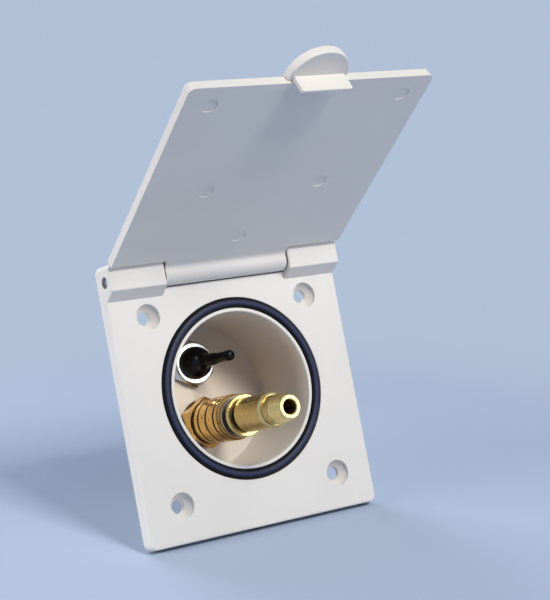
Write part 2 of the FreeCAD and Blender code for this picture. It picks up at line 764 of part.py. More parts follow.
def make_sleeve():
    """Locking sleeve: gripping ribs outside, spring chamber and ball relief inside."""
    body = new_body("coupling_sleeve")
    low, top, outer = "sleeve_low", "sleeve_top", "sleeve_radius"
    groove = "sleeve_groove_radius"
    running = "tube_radius + sleeve_fit"
    profile = [("spring_chamber", low), (outer + " - sleeve_edge", low),
               (outer, low + " + sleeve_edge")]
    for step in range(3):
        start = "%s + rib_start + rib_pitch * %d" % (low, step)
        profile += [(outer, start), (groove, start + " + rib_side"),
                    (groove, start + " + rib_side + rib_floor"),
                    (outer, start + " + 2 * rib_side + rib_floor")]
    profile += [(outer, top + " - sleeve_nose_start"),
                ("sleeve_nose_radius", top + " - sleeve_nose_end"),
                ("sleeve_nose_radius", top), (running, top),
                (running, top + " - sleeve_land_thick"),
                ("sleeve_relief_radius", top + " - sleeve_land_thick"),
                ("sleeve_relief_radius", "sleeve_land_height + sleeve_land_thick"),
                (running, "sleeve_land_height + sleeve_land_thick"),
                (running, "sleeve_land_height"),
                ("spring_chamber", "sleeve_land_height")]
    spin(body, profile)
    on_coupling(body)


def make_sleeve_spring():
    body = new_body("sleeve_spring")
    sketch = discs(body, "XZ_Plane", [
        ("spring_radius", "hex_top + spring_wire / 2 + spring_gap", "spring_wire / 2")])
    coil = body.newObject("PartDesign::AdditiveHelix", "sleeve_spring_coil")
    coil.Profile = sketch
    coil.ReferenceAxis = (sketch, ["V_Axis"])
    coil.Mode = "height-turns-angle"
    coil.setExpression("Height", linked("sleeve_land_height - hex_top - spring_wire - 2 * spring_gap"))
    coil.setExpression("Turns", linked("spring_turns"))
    on_coupling(body)


def make_stop_ring():
    body = ring_shape("sleeve_stop_ring", "stop_groove_radius", "stop_ring_radius",
                      "stop_ring_height + thread_seat",
                      "stop_ring_height + stop_ring_thick - thread_seat")
    on_coupling(body)


def make_hose_plug():
    """Brass plug: grooved nipple in the socket, round body, and a hose tail."""
    body = new_body("hose_plug")
    nipple = "nipple_radius"
    tail, tip = "hose_tail_radius", "hose_tail_tip_radius"
    groove_low = "ball_height - ball_radius"
    groove_top = "ball_height + ball_radius"
    first = "plug_body_top + tail_neck"
    second = first + " + tail_ring_pitch"
    third = second + " + tail_ring_pitch"
    spin(body, [
        ("flow_radius", "bore_floor + plug_gap"),
        (nipple + " - nipple_taper", "bore_floor + plug_gap"),
        (nipple, "bore_floor + plug_gap + nipple_taper"), (nipple, groove_low),
        (nipple + " - plug_groove_depth", groove_low + " + plug_groove_side"),
        (nipple + " - plug_groove_depth", groove_top + " - plug_groove_side"),
        (nipple, groove_top), (nipple, "shoulder"), ("plug_neck_radius", "shoulder"),
        ("plug_neck_radius", "collar_height"), ("collar_radius - turned_edge", "collar_height"),
        ("collar_radius", "collar_height + turned_edge"),
        ("collar_radius", "collar_top - turned_edge"),
        ("collar_radius - turned_edge", "collar_top"), ("plug_neck_radius", "collar_top"),
        ("plug_neck_radius", "plug_body_low"), ("plug_radius - turned_edge", "plug_body_low"),
        ("plug_radius", "plug_body_low + turned_edge"),
        ("plug_radius", "plug_body_top - plug_edge"),
        ("plug_radius - plug_edge", "plug_body_top"), (tail + " - turned_edge", "plug_body_top"),
        (tail + " - turned_edge", first), (tail, first),
        (tail + " - tail_ring_fall", second), (tail, second),
        (tail + " - 2 * tail_ring_fall", third), (tail + " - turned_edge", third),
        (tip, "plug_tip - nipple_taper"), (tip + " - turned_edge", "plug_tip"),
        ("flow_radius + turned_edge", "plug_tip"), ("flow_radius", "plug_tip - turned_edge")])
    on_coupling(body)


def make_coupling_fixings():
    hole = "tail_diameter / 2"
    on_coupling(ring_shape("coupling_gasket", hole + " + gasket_slack",
                           "coupling_hex / 2 + coupling_gasket_lip", "0", "washer_thick"))
    on_coupling(ring_shape("coupling_back_washer", hole + " + washer_slack", "back_washer_radius",
                           "back_nut_low", "-cup_floor_thick"))
    on_coupling(hex_nut("coupling_back_nut", "back_nut", "back_nut_low - back_nut_thick",
                        "back_nut_low", hole + " + thread_seat"))


def make_supply_tail():
    """Barbed tail for the supply hose, screwed into the back of the coupling."""
    body = new_body("supply_hose_tail")
    face = "tail_end"
    low = face + " - supply_hex_thick"
    pad(body, hexagon(body, "XY_Plane", "supply_hex", low), "supply_hex_thick - supply_seat")
    chamfer_hexagon(body, "supply_hex", low, 1)
    barb, root = "supply_barb_radius", "supply_root_radius"
    profile = [("0", face + " + supply_thread_length"),
               ("supply_thread_radius", face + " + supply_thread_length"),
               ("supply_thread_radius", face + " - hex_lap"), (root, face + " - hex_lap")]
    for step in range(3):
        start = "%s - supply_barb_start - supply_barb_pitch * %d" % (low, step)
        crest = start + " - supply_barb_rise"
        profile += [(root, start), (barb, crest), (barb, crest + " - supply_barb_flat"),
                    (root, crest + " - supply_barb_flat - supply_barb_run")]
    profile += [(root, low + " - supply_length"), ("0", low + " - supply_length")]
    spin(body, profile)
    pocket(body, discs(body, "XY_Plane", [("0", "0", "flow_radius")]))
    on_coupling(body)


def make_switch_fixings():
    thread = "bushing_radius"
    nut = hex_nut("boot_nut", "boot_nut", "boot_gasket_thick",
                  "boot_gasket_thick + boot_nut_thick", thread + " + thread_seat")
    ring_low = "boot_gasket_thick + boot_nut_thick - boot_ring_lap"
    spin(nut, [("boot_radius + boot_seat", ring_low), ("boot_ring_radius", ring_low),
               ("boot_ring_radius", "boot_ring_top - boot_ring_edge"),
               ("boot_ring_radius - boot_ring_edge", "boot_ring_top"),
               ("boot_radius + boot_seat", "boot_ring_top")])
    on_switch(nut)
    on_switch(ring_shape("boot_gasket", thread + " + washer_slack", "boot_ring_radius", "0",
                         "boot_gasket_thick"))
    washer = ring_shape("keyed_washer", thread + " + washer_slack", "keyed_washer_radius",
                        "-cup_floor_thick - keyed_washer_thick", "-cup_floor_thick")
    on_switch(washer)
    on_switch(hex_nut("switch_nut", "switch_nut", "switch_nut_low",
                      "switch_nut_low + switch_nut_thick", thread + " + thread_seat"))


def make_toggle_boot():
    """Rubber boot, fixed part: a dome on the bushing, open where the lever comes out."""
    body = new_body("toggle_boot")
    foot = "boot_gasket_thick + boot_nut_thick + boot_seat"
    skirt, shoulder = "boot_ring_top + boot_skirt", "boot_ring_top + boot_shoulder"
    wide, narrow = "boot_radius * boot_shoulder_ratio", "boot_radius * boot_crown_ratio"
    inner = "boot_radius - boot_wall"
    spin(body, [
        (inner, foot), ("boot_radius", foot), ("boot_radius", skirt), (wide, shoulder),
        (narrow, "boot_top - boot_crown"), ("boot_mouth", "boot_top"),
        ("boot_mouth", "boot_top - boot_wall"),
        (narrow + " - boot_wall", "boot_top - boot_crown - boot_wall"),
        (wide + " - boot_wall", shoulder + " - boot_wall / 2"), (inner, skirt)])
    on_switch(body)


def make_switch_bushing():
    body = new_body("switch_bushing")
    thread = "bushing_radius"
    spin(body, [
        ("bushing_bore", "frame_top"), (thread, "frame_top"), (thread, "bushing_top - bushing_edge"),
        (thread + " - bushing_edge", "bushing_top"),
        ("bushing_bore + bushing_flare", "bushing_top"),
        ("bushing_bore", "bushing_top - bushing_flare_depth")])
    on_switch(body)


def make_switch_frame():
    """Steel frame: a plate under the bushing with a tab down each side of the case."""
    body = new_body("switch_frame")
    reach = "case_width / 2 + frame_thick"
    pad(body, rectangle(body, "XY_Plane", "-case_length / 2", "-(" + reach + ")",
                        "case_length / 2", reach, lift="case_top"), "frame_thick")
    for side in ("", "-"):
        inner, outer = side + "(case_width / 2)", side + "(" + reach + ")"
        tab = rectangle(body, "YZ_Plane", inner, "case_top - frame_tab", outer,
                        "case_top + frame_thick / 2")
        pad(body, tab, "case_length * frame_tab_share", side="Symmetric")
    pocket(body, discs(body, "XY_Plane", [("0", "0", "bushing_bore + frame_hole_gap")]))
    on_switch(body)


def make_switch_case():
    body = new_body("switch_case")
    pad(body, rectangle(body, "XY_Plane", "-case_length / 2", "-case_width / 2 + frame_side_gap",
                        "case_length / 2", "case_width / 2 - frame_side_gap", lift="case_bottom"),
        "case_depth")
    pocket(body, rectangle(body, "XY_Plane", "-case_length / 2 + case_wall",
                           "-case_width / 2 + case_wall", "case_length / 2 - case_wall",
                           "case_width / 2 - case_wall", lift="case_floor"),
           "case_depth", side="One side", reverse=True)
    thick, wide = "(blade_thick / 2 + thread_seat)", "(blade_width / 2 + thread_seat)"
    slots = [rectangle(body, "XY_Plane", centre + " - " + thick, "-" + wide,
                       centre + " + " + thick, wide) for centre in ("0", "-blade_span")]
    for slot in slots:
        pocket(body, slot)
    on_switch(body)


def make_switch_terminals():
    """Two brass blades: the middle one carries the rocker, the side one its fixed contact."""
    blades = []
    for number, (centre, top) in enumerate((("0", "fulcrum_top"),
                                            ("-blade_span", "contact_top"))):
        blade = doc.addObject("Part::Box", "blade_%d" % (number + 1))
        blade.setExpression("Length", linked("blade_thick"))
        blade.setExpression("Width", linked("%s - case_bottom + blade_length" % top))
        blade.setExpression("Height", linked("blade_width"))
        place(blade, "switch_x + %s - blade_thick / 2" % centre, "floor_y - (%s)" % top,
              "switch_z - blade_width / 2")
        hole = doc.addObject("Part::Cylinder", "blade_hole_%d" % (number + 1))
        hole.setExpression("Radius", linked("screw_radius + thread_seat"))
        hole.setExpression("Height", linked("blade_thick + 2 * cut_over"))
        place(hole, "switch_x + %s - blade_thick / 2 - cut_over" % centre,
              "floor_y - case_bottom + blade_length * blade_hole_share", "switch_z",
              axis=(0, 1, 0), angle=90)
        cut = doc.addObject("Part::Cut", "blade_cut_%d" % (number + 1))
        cut.Base = blade
        cut.Tool = hole
        blades.append(cut)
    group = doc.addObject("Part::Compound", "switch_terminals")
    group.Links = blades


def make_terminal_screws():
    """A cheese-head screw through each blade."""
    screws = []
    for number, centre in enumerate(("0", "-blade_span")):
        parts = []
        for suffix, radius, start, length in (
                ("head", "screw_head_radius", "blade_thick / 2", "screw_head_thick"),
                ("shank", "screw_radius", "-blade_thick / 2 - screw_shank",
                 "blade_thick + screw_shank + screw_tip")):
            piece = doc.addObject("Part::Cylinder", "screw_%s_%d" % (suffix, number + 1))
            piece.setExpression("Radius", linked(radius))
            piece.setExpression("Height", linked(length))
            place(piece, "switch_x + %s + %s" % (centre, start),
                  "floor_y - case_bottom + blade_length * blade_hole_share", "switch_z",
                  axis=(0, 1, 0), angle=90)
            parts.append(piece)
        screw = doc.addObject("Part::Fuse", "screw_%d" % (number + 1))
        screw.Base, screw.Tool = parts
        screws.append(screw)
    group = doc.addObject("Part::Compound", "terminal_screws")
    group.Links = screws


def lean(body, height, angle):
    """Stand a switch piece on its pivot, leaning towards +X by an angle in degrees."""
    place(body, "switch_x", "floor_y - (%s)" % height, "switch_z")
    upright = FreeCAD.Rotation(FreeCAD.Vector(1, 0, 0), 90)
    tilt = FreeCAD.Rotation(FreeCAD.Vector(0, 0, 1), angle)
    base = body.Placement.Base
    body.Placement = FreeCAD.Placement(base, tilt.multiply(upright))


def make_toggle_lever():
    """Metal lever about its pivot ball; its nose reaches down to the rocker."""
    body = new_body("toggle_lever")
    shaft = "lever_radius"
    nose = "-lever_nose_depth"
    rings = [("0", nose), ("lever_nose_flat", nose + " + lever_nose_edge"),
             ("lever_nose_radius", nose + " + lever_nose_radius"),
             ("lever_nose_radius", "-lever_neck")]
    for angle in (-50, -25, 0, 25, 50):
        rings.append(("lever_ball * cos(%d deg)" % angle, "lever_ball * sin(%d deg)" % angle))
    rings += [(shaft, "sqrt(lever_ball ^ 2 - lever_radius ^ 2) + lever_foot"),
              (shaft, "lever_top - pivot_height - lever_edge"),
              (shaft + " - lever_edge", "lever_top - pivot_height"),
              ("0", "lever_top - pivot_height")]
    spin(body, rings)
    lean(body, "pivot_height", size("toggle_tilt"))


def make_lever_boot():
    """Rubber boot, moving part: the finger-tight sheath over the lever."""
    body = new_body("lever_boot")
    shaft = "lever_radius + lever_boot_fit"
    top = "lever_top - pivot_height"
    low = "lever_boot_low - pivot_height"
    outer = "lever_boot_radius"
    profile = [(shaft, low), (outer, low), (outer, top + " - lever_boot_dome")]
    for angle in (20, 40, 60, 80):
        profile.append(("lever_boot_radius * cos(%d deg)" % angle,
                        "%s - lever_boot_dome + (lever_boot_cap + lever_boot_dome)"
                        " * sin(%d deg)" % (top, angle)))
    profile += [("0", top + " + lever_boot_cap"), ("0", top + " + lever_boot_fit"),
                (shaft, top + " + lever_boot_fit")]
    spin(body, profile)
    lean(body, "pivot_height", size("toggle_tilt"))


def make_contact_rocker():
    """See-saw contact on the middle blade, pressed down by the lever's nose."""
    body = new_body("contact_rocker")
    pad(body, rectangle(body, "XY_Plane", "-rocker_length / 2", "-rocker_width / 2",
                        "rocker_length / 2", "rocker_width / 2", lift="-rocker_thick / 2"),
        "rocker_thick")
    lean(body, "rocker_pivot", -size("rocker_tilt"))


def check_and_export():
    """Stop on any failed object, then write each labelled sub-part to its own file."""
    doc.recompute()
    for item in doc.Objects:
        if "Invalid" in item.State or "Error" in item.State:
            raise RuntimeError("failed object: " + item.Label)
    nodes = [item for item in doc.Objects
             if item.TypeId == "PartDesign::Body" or item.Label in LOOSE_NODES]
    for node in nodes:
        if node.Shape.isNull() or not node.Shape.isValid():
            raise RuntimeError("bad shape: " + node.Label)
    os.makedirs("parts", exist_ok=True)
    for node in nodes:
        node.Shape.exportStep("parts/" + node.Label + ".step")


LOOSE_NODES = ("lid_seal", "plug_seal", "locking_balls", "switch_terminals",
               "terminal_screws")

fill_sheet()
make_housing()
make_lid_seal()
make_hinge_pin()
make_lid()
make_coupling_body()
make_plug_seal()
make_locking_balls()
make_sleeve()
make_sleeve_spring()
make_stop_ring()
make_hose_plug()
make_coupling_fixings()
make_supply_tail()
make_switch_fixings()
make_toggle_boot()
make_switch_bushing()
make_switch_frame()
make_switch_case()
make_switch_terminals()
make_terminal_screws()
make_toggle_lever()
make_lever_boot()
make_contact_rocker()
check_and_export()
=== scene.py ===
import json
import math

import bmesh
import bpy
from mathutils import Matrix, Vector


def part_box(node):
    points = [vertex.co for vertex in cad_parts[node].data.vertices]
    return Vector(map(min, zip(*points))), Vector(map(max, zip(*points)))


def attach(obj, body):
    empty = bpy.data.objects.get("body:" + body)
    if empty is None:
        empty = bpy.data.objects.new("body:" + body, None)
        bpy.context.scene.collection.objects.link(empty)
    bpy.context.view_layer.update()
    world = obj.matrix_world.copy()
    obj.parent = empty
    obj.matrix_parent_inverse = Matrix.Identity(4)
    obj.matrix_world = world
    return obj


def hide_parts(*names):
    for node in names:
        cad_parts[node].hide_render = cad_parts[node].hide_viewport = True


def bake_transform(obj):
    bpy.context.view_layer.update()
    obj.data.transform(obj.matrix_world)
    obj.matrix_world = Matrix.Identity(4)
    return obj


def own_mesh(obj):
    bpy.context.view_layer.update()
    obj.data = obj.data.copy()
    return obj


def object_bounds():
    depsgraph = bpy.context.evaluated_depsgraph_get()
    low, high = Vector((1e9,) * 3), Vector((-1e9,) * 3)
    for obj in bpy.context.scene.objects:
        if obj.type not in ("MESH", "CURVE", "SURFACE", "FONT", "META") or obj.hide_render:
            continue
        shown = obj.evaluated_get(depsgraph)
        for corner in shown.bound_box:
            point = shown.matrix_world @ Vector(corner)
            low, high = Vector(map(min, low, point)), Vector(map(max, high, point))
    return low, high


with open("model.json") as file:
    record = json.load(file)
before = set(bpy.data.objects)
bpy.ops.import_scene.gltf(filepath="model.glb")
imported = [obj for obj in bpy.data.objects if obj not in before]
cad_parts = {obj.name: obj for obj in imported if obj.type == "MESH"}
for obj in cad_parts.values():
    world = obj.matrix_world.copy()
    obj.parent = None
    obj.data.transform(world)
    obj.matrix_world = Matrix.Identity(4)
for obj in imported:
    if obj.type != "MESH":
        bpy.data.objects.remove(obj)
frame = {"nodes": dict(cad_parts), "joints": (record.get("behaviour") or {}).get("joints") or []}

# Deck outlet box: a square flush flange with a round cup, its lid held open on the
# hinge above, and in the cup a booted toggle switch and a brass quick coupling with
# its hose plug. +X runs along the hinge, +Y into the deck, +Z up to the hinge.

cad_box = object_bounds()

MM = 0.001
FLOOR_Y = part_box("coupling_gasket")[1][1]           # inside face of the cup's floor
COUPLING = Vector((0, FLOOR_Y, -11.3 * MM))         # coupling's axis at the cup's floor
SWITCH = Vector((-0.8 * MM, FLOOR_Y, 14.9 * MM))    # switch's axis at the cup's floor
LEVER_PIVOT = SWITCH - Vector((0, 1 * MM, 0))
LEVER_LEAN = math.radians(14)
CUP_AXIS = Vector((0, 0, 0))
seal_low, seal_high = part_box("lid_seal")
SEAL_ORBIT = seal_high.x - (seal_high.y - seal_low.y) / 2   # radius of the seal's crown

# ---------------------------------------------------------------- camera, lamps and stage

CAMERA_PLACE = Vector((-340.68, -580.98, -12.61)) * MM
CAMERA_RIGHT = Vector((0.83726, -0.51467, -0.18468))
CAMERA_UP = Vector((0.12035, -0.15602, 0.98040))
CAMERA_AHEAD = Vector((0.53340, 0.84307, 0.06868))
LENS_MM = 96.576
FILM_MM = 36

BACKDROP = (0.44, 0.53, 0.68)
ROOM_LIGHT = (0.31, 0.42, 0.78)
ROOM_STRENGTH = 0.28
SHEET_NORMAL = Vector((0, -0.337, 0.9415)).normalized()
SHEET_RADIUS = 0.42
SHEET_DROP = 0.3 * MM                               # below the flange's lower edge
SHEET_FADE = (0.16, 0.34)                           # metres, where it turns into backdrop

AIM = Vector((0, 0, 10 * MM))
LAMPS = (
    # name, place from the aim, width, height, watts, colour, seen in gloss
    ("key_light", (0.12, -0.88, 0.46), 0.26, 0.26, 6.5, (1.0, 0.96, 0.89), True),
    ("side_light", (-0.92, 0.04, 0.20), 0.40, 0.50, 5.6, (1.0, 0.96, 0.91), False),
    ("face_light", (0.53, -0.86, 0.10), 0.30, 0.36, 1.4, (1.0, 0.99, 0.97), True),
    ("back_light", (-0.10, 0.65, 0.75), 0.60, 0.50, 5.0, (1.0, 1.0, 1.0), True),
)


def make_camera():
    data = bpy.data.cameras.new("studio_camera")
    data.lens = LENS_MM
    data.sensor_width = FILM_MM
    data.clip_start, data.clip_end = 0.05, 20
    camera = bpy.data.objects.new("studio_camera", data)
    turn = Matrix((CAMERA_RIGHT, CAMERA_UP, -CAMERA_AHEAD)).transposed()
    camera.matrix_world = Matrix.Translation(CAMERA_PLACE) @ turn.to_4x4()
    bpy.context.collection.objects.link(camera)
    bpy.context.scene.camera = camera


def make_lamp(name, offset, width, height, watts, colour, mirrored):
    data = bpy.data.lights.new(name, "AREA")
    data.shape = "RECTANGLE"
    data.size, data.size_y = width, height
    data.energy = watts
    data.color = colour
    lamp = bpy.data.objects.new(name, data)
    lamp.location = AIM + Vector(offset)
    lamp.rotation_euler = (-Vector(offset)).to_track_quat("-Z", "Y").to_euler()
    lamp.visible_glossy = mirrored
    bpy.context.collection.objects.link(lamp)


# ---------------------------------------------------------------- nodes

class Value:
    """A number or colour that changes over a surface; arithmetic adds Math nodes."""

    def __init__(self, nodes, socket):
        self.nodes, self.socket = nodes, socket

    def output(self, key):
        """Another output of the node that gives this value."""
        return Value(self.nodes, self.socket.node.outputs[key])

    def maths(self, operation, first, second):
        return self.nodes.node("Math", {"operation": operation}, first, second)

    def __add__(self, other):
        return self.maths("ADD", self, other)

    def __sub__(self, other):
        return self.maths("SUBTRACT", self, other)

    def __rsub__(self, other):
        return self.maths("SUBTRACT", other, self)

    def __mul__(self, other):
        return self.maths("MULTIPLY", self, other)

    def __pow__(self, other):
        return self.maths("POWER", self, other)

    __radd__ = __add__
    __rmul__ = __mul__


class Nodes:
    """A node tree that grows by expressions on its values."""

    def __init__(self, tree):
        self.tree = tree

    def node(self, kind, settings=None, *values, out=0, at=None, **named):
        """A node with its settings, then the values or links of its sockets: in order,
        by number in at, or by name."""
        made = self.tree.nodes.new("ShaderNode" + kind)
        for key, setting in (settings or {}).items():
            setattr(made, key, setting)
        for key, value in (*enumerate(values), *(at or {}).items(), *named.items()):
            self.link(value, made.inputs[key])
        return Value(self, made.outputs[out])

    def link(self, value, socket):
        if isinstance(value, Value):
            self.tree.links.new(value.socket, socket)
        else:
            socket.default_value = value

    def between(self, share, first, second):
        """A colour part way from the first to the second."""
        first, second = (colour if isinstance(colour, Value) else (*colour, 1)
                         for colour in (first, second))
        return self.node("Mix", {"data_type": "RGBA"}, out=2,
                         at={0: share, 6: first, 7: second})

    def band(self, value, low, high):
        """0 below low, 1 above high, smooth between."""
        return self.node("MapRange", {"interpolation_type": "SMOOTHSTEP"},
                         value, low, high, 0.0, 1.0)


class Finish(Nodes):
    """A material on Object coordinates, with its Principled shader to feed."""

    def __init__(self, name, colour, roughness, metallic=0.0, specular=0.5):
        self.material = bpy.data.materials.new(name)
        self.material.use_nodes = True
        self.material.diffuse_color = (*colour, 1)
        super().__init__(self.material.node_tree)
        self.shader = self.tree.nodes["Principled BSDF"]
        self.feed("Base Color", (*colour, 1))
        self.feed("Roughness", roughness)
        self.feed("Metallic", metallic)
        self.feed("Specular IOR Level", specular)
        self.place = self.node("TexCoord", out="Object")

    def feed(self, name, value):
        self.link(value, self.shader.inputs[name])

    def surface(self, colour, roughness, height, strength, depth):
        """The material, once its colour, roughness and bump are fed; depth is in mm."""
        self.feed("Base Color", colour)
        self.feed("Roughness", roughness)
        self.feed("Normal", self.node("Bump", None, Height=height, Strength=strength,
                                      Distance=depth * MM))
        return self.material

    def noise(self, scale, detail=2.0, rough=0.5, place=None):
        return self.node("TexNoise", None, Vector=place or self.place, Scale=scale,
                         Detail=detail, Roughness=rough)

    def about_axis(self, centre):
        """Distance from an axis along Y, the place along it, and the height over it."""
        moved = self.node("Mapping", None, Vector=self.place,
                          Location=(-centre.x, 0, -centre.z))
        across = self.node("SeparateXYZ", None, moved)
        along, high = across.output(1), across.output(2)
        return (across * across + high * high) ** 0.5, along, high

    def turned(self, centre, scale):
        """Fine lathe rings round an axis along Y."""
        radius, along, high = self.about_axis(centre)
        ring = self.node("CombineXYZ", None, radius, along, 0.0)
        return self.noise(scale, 3.0, 0.6, place=ring)


# ---------------------------------------------------------------- finishes

def white_moulding():
    """White plastic, with painted warm shade inside the cup that browns towards its top, and
    painted shade in its narrow gaps.
    """
    fresh, worn = (0.815, 0.785, 0.725), (0.785, 0.752, 0.69)
    cup_below, cup_above = (0.79, 0.75, 0.68), (0.80, 0.70, 0.575)
    painted_shade_colour = (0.10, 0.075, 0.05)
    finish = Finish("white_moulding", (0.80, 0.775, 0.72), 0.34)
    skin = finish.between(finish.band(finish.noise(22, 3), 0.3, 0.7), fresh, worn)
    radius, along, high = finish.about_axis(CUP_AXIS)
    # Inside the cup the colour is painted warmer and browner towards the top: painted warm
    # shade.
    in_cup = (finish.band(radius, 33.0 * MM, 32.2 * MM)
              * finish.band(along, -6.0 * MM, -3.0 * MM))
    painted_cup_shade = finish.between(finish.band(high, -14 * MM, 10 * MM), cup_below, cup_above)
    skin = finish.between(in_cup, skin, painted_cup_shade)
    # Ambient occlusion darkens the colour in narrow gaps and creases: painted shade.
    narrow = finish.node("AmbientOcclusion", {"samples": 8}, Distance=2.4 * MM, out="AO")
    painted_gap_shade = finish.band(narrow, 0.46, 0.16)
    smear = finish.band(finish.noise(60, 5, 0.65), 0.52, 0.72)
    grain = finish.noise(1400, 2) + 0.6 * finish.noise(260, 2)
    return finish.surface(finish.between(painted_gap_shade, skin, painted_shade_colour), 0.33 + 0.12 * smear,
                          grain, 0.10, 0.06)


def seal_rubber():
    """Black rubber cord with a painted navy sheen along its crown."""
    black, sheen_navy = (0.002, 0.0022, 0.003), (0.032, 0.043, 0.098)
    finish = Finish("seal_rubber", (0.012, 0.014, 0.026), 0.42, specular=0.22)
    radius, along, high = finish.about_axis(CUP_AXIS)
    # The navy band along the crown is a painted sheen.
    crown = (finish.band(radius, SEAL_ORBIT - 1.4 * MM, SEAL_ORBIT - 0.6 * MM)
             * finish.band(radius, SEAL_ORBIT + 1.2 * MM, SEAL_ORBIT + 0.4 * MM))
    dust = finish.band(finish.noise(180, 4, 0.7), 0.50, 0.75)
    return finish.surface(finish.between(crown * (0.75 + 0.25 * dust), black, sheen_navy),
                          0.42 + 0.18 * dust, finish.noise(900, 2), 0.08, 0.05)


def boot_rubber():
    finish = Finish("boot_rubber", (0.004, 0.004, 0.005), 0.24, specular=0.22)
    dust = finish.band(finish.noise(240, 4, 0.7), 0.5, 0.8)
    return finish.surface(finish.between(dust, (0.002, 0.002, 0.003), (0.006, 0.006, 0.008)),
                          0.15 + 0.2 * dust, finish.noise(1600, 2), 0.10, 0.04)


def turned_brass(name, bright, dull, shine, crest, root, low, high):
    """Brass turned about the coupling's axis, spotted, and darkened with painted shade where it
    lies deeper than its crest between two heights above the cup's floor. Lengths are in mm."""
    spot_colour, painted_shade_colour = (0.16, 0.085, 0.03), (0.020, 0.012, 0.006)
    finish = Finish(name, bright, shine, metallic=1.0)
    rings = finish.turned(COUPLING, 2600)
    radius, along, high_up = finish.about_axis(COUPLING)
    height = FLOOR_Y - along
    # Grooves are painted dark and less metallic: painted shade in the grooves.
    groove_shade = (finish.band(radius, crest * MM, root * MM)
            * finish.band(height, low * MM, (low + 0.3) * MM)
            * finish.band(height, high * MM, (high - 0.3) * MM))
    tarnish = finish.band(finish.noise(90, 5, 0.65), 0.42, 0.75)
    spots = (finish.band(finish.noise(620, 2), 0.60, 0.68)
             * finish.band(finish.noise(130, 3), 0.47, 0.60))
    metal = finish.between(tarnish * 0.7, bright, dull)
    metal = finish.between(spots * 0.75, metal, spot_colour)
    finish.feed("Metallic", 1 - 0.85 * groove_shade)
    return finish.surface(
        finish.between(groove_shade, metal, painted_shade_colour),
        shine + 0.10 * rings + 0.12 * tarnish + 0.25 * spots + 0.3 * groove_shade, rings, 0.12, 0.04)


def nickel_plate():
    finish = Finish("switch_nickel", (0.74, 0.73, 0.70), 0.16, metallic=1.0)
    rings = finish.turned(SWITCH, 2400)
    bloom = finish.band(finish.noise(150, 4), 0.4, 0.8)
    return finish.surface(finish.between(bloom, (0.76, 0.75, 0.72), (0.66, 0.645, 0.61)),
                          0.13 + 0.14 * rings, rings, 0.06, 0.03)


def drawn_steel():
    finish = Finish("drawn_steel", (0.60, 0.60, 0.60), 0.26, metallic=1.0)
    lengthwise = finish.node("Mapping", None, Vector=finish.place, Scale=(0.06, 1, 1))
    streaks = finish.noise(400, 4, 0.6, place=lengthwise)
    return finish.surface(finish.between(streaks, (0.66, 0.66, 0.66), (0.50, 0.50, 0.51)),
                          0.22 + 0.2 * streaks, streaks, 0.08, 0.03)


def case_moulding():
    finish = Finish("case_moulding", (0.022, 0.022, 0.024), 0.48)
    cloud = finish.noise(90, 4)
    return finish.surface(finish.between(cloud, (0.018, 0.018, 0.020), (0.034, 0.034, 0.036)),
                          0.42 + 0.18 * finish.noise(300, 3), finish.noise(1500, 2), 0.2, 0.05)


def stamped_brass():
    finish = Finish("stamped_brass", (0.74, 0.58, 0.30), 0.34, metallic=1.0)
    blush = finish.band(finish.noise(220, 5, 0.7), 0.4, 0.75)
    return finish.surface(finish.between(blush, (0.78, 0.62, 0.34), (0.56, 0.40, 0.18)),
                          0.28 + 0.22 * blush, finish.noise(1200, 2), 0.06, 0.04)


def brown_fibre():
    finish = Finish("brown_fibre", (0.055, 0.032, 0.020), 0.62)
    fibres = finish.noise(500, 5, 0.7)
    return finish.surface(finish.between(fibres, (0.075, 0.042, 0.026), (0.035, 0.020, 0.012)),
                          0.55 + 0.2 * finish.noise(700, 2), finish.noise(1300, 3), 0.25, 0.05)


# ---------------------------------------------------------------- shaping

def draw(mesh, outline, closed=False):
    """Points at an outline's (radius, height) corners in mm, and the edges between them."""
    points = [mesh.verts.new((radius * MM, 0, height * MM)) for radius, height in outline]
    others = points[1:] + points[:1] if closed else points[1:]
    return points + [mesh.edges.new(pair) for pair in zip(points, others)]


def lathe(outline, steps):
    """A shape turned about Z from an outline."""
    mesh = bmesh.new()
    bmesh.ops.spin(mesh, geom=draw(mesh, outline), cent=(0, 0, 0), axis=(0, 0, 1),
                   angle=2 * math.pi, steps=steps, use_merge=True)
    bmesh.ops.remove_doubles(mesh, verts=mesh.verts, dist=1e-6)
    bmesh.ops.recalc_face_normals(mesh, faces=mesh.faces)
    return mesh


def stand(mesh, foot):
    """Turn a shape's Z to point out of the cup and set its foot at a point."""
    out = Matrix.Translation(foot) @ Matrix.Rotation(math.radians(90), 4, "X")
    bmesh.ops.transform(mesh, matrix=out, verts=mesh.verts)


def piece_of(name, mesh, finish, body=None, stands_for=(), crease=35):
    """Make a shape a piece of the object, on its body, with its finish."""
    data = bpy.data.meshes.new(name)
    mesh.to_mesh(data)
    mesh.free()
    data.materials.append(finish)
    data.shade_smooth()
    data.set_sharp_from_angle(angle=math.radians(crease))
    piece = bpy.data.objects.new(name, data)
    bpy.context.collection.objects.link(piece)
    if body:
        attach(piece, body)
    if stands_for:
        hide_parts(*stands_for)
    return piece


# ---------------------------------------------------------------- pieces

BOOT_OUTLINE = [
    (6.6, 2.75), (7.2, 2.75), (7.22, 4.4), (7.22, 5.2), (7.02, 6.6), (6.4, 7.9), (5.4, 8.9),
    (4.5, 9.4), (3.6, 9.9), (3.05, 10.7), (2.8, 12.0), (2.72, 14.0), (2.66, 16.4),
    (2.36, 17.4), (2.24, 19.0), (2.22, 22.4), (2.40, 24.0), (2.44, 25.3), (2.15, 26.5),
    (1.2, 27.1), (0, 27.15)]
BOOT_WALL = 0.5
BEND_FROM, BEND_OVER, BEND_REACH = 5.5, 5.5, 10     # mm above the floor, and up the lever


